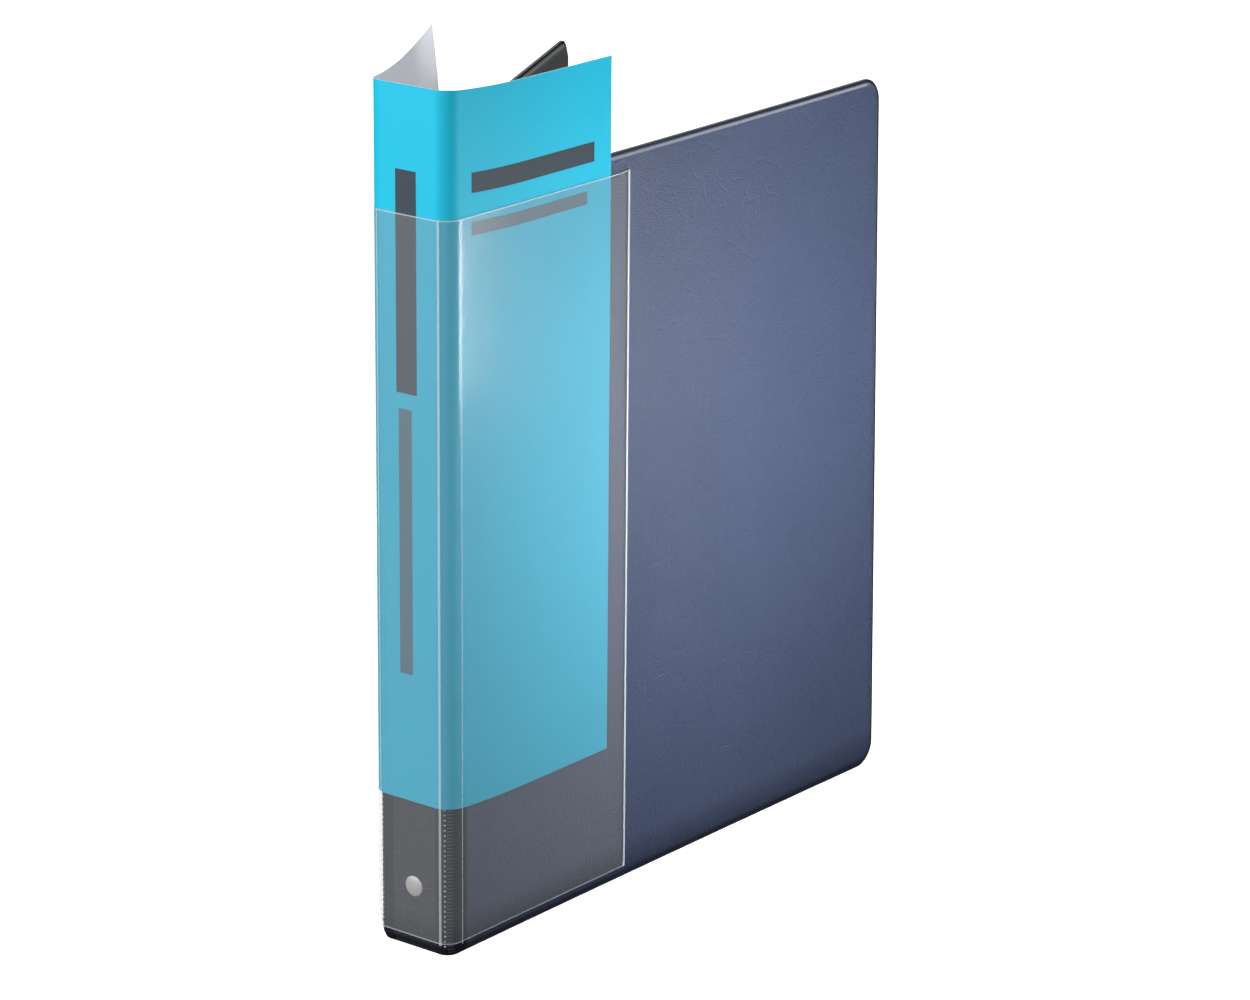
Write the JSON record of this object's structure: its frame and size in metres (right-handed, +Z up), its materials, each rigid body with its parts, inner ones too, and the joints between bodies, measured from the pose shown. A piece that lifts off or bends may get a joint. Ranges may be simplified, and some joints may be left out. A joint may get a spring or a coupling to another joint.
{
  "type": "ring binder",
  "caption": "Vinyl ring binder with clear overlay pocket round its spine, paper insert, hinged covers, round rings and end triggers, standing ajar.",
  "frame": {"origin": "middle of the spine's lower edge, on its outer vinyl, where the binder stands", "axes": "+Z up along the spine, +Y from the spine towards the covers' free edges, +X towards the front cover"},
  "size_m": [0.1465, 0.2684, 0.33],
  "materials": {
    "vinyl": "navy vinyl with a fine leather grain, satin",
    "lining": "dark grey smooth vinyl, satin",
    "board": "grey chipboard",
    "film": "clear vinyl film, slightly cloudy",
    "insert": "printed paper, cyan outside and white inside",
    "nickel": "bright nickel plate"
  },
  "bodies": {
    "spine": {"spine_skin": "vinyl", "spine_lining": "lining", "spine_board": "board", "spine_film": "film", "spine_insert": "insert", "ring_housing": "nickel", "rivet_bottom": "nickel", "rivet_top": "nickel"},
    "front_cover": {"front_skin": "vinyl", "front_lining": "lining", "front_board": "board", "front_pocket": "lining", "front_film": "film", "front_insert": "insert"},
    "back_cover": {"back_skin": "vinyl", "back_lining": "lining", "back_board": "board", "back_pocket": "lining", "back_film": "film", "back_insert": "insert"},
    "ring_carrier_left": {"blade_left": "nickel", "ring_left_1": "nickel", "ring_left_2": "nickel", "ring_left_3": "nickel"},
    "ring_carrier_right": {"blade_right": "nickel", "ring_right_1": "nickel", "ring_right_2": "nickel", "ring_right_3": "nickel"},
    "trigger_bottom": {"lever_bottom": "nickel"},
    "trigger_top": {"lever_top": "nickel"}
  },
  "joints": [
    {"name": "front_hinge", "type": "hinge", "parent": "spine", "child": "front_cover", "pos_m": [0.01535, 0.0004, 0], "axis": [0, 0, -1], "range_deg": [-2.1, 177.9], "deforming": ["spine_film", "spine_insert"]},
    {"name": "back_hinge", "type": "hinge", "parent": "spine", "child": "back_cover", "pos_m": [-0.01535, 0.0004, 0], "axis": [0, 0, 1], "range_deg": [-23.1, 156.9]},
    {"name": "rings_open", "type": "hinge", "parent": "spine", "child": "ring_carrier_left", "pos_m": [-0.0066, 0.0049, 0], "axis": [0, 0, 1], "range_deg": [0, 14]},
    {"name": "right_rings_open", "type": "hinge", "parent": "spine", "child": "ring_carrier_right", "pos_m": [0.0066, 0.0049, 0], "axis": [0, 0, -1], "range_deg": [0, 14]},
    {"name": "top_trigger", "type": "hinge", "parent": "spine", "child": "trigger_top", "pos_m": [0, 0.0053, 0.2771], "axis": [1, 0, 0], "range_deg": [0, 24]},
    {"name": "bottom_trigger", "type": "hinge", "parent": "spine", "child": "trigger_bottom", "pos_m": [0, 0.0053, 0.015], "axis": [-1, 0, 0], "range_deg": [0, 24]}
  ],
  "couplings": [
    {"joint": "right_rings_open", "follows": "rings_open", "ratio": 1},
    {"joint": "top_trigger", "follows": "rings_open", "ratio": 1.7143},
    {"joint": "bottom_trigger", "follows": "rings_open", "ratio": 1.7143}
  ]
}
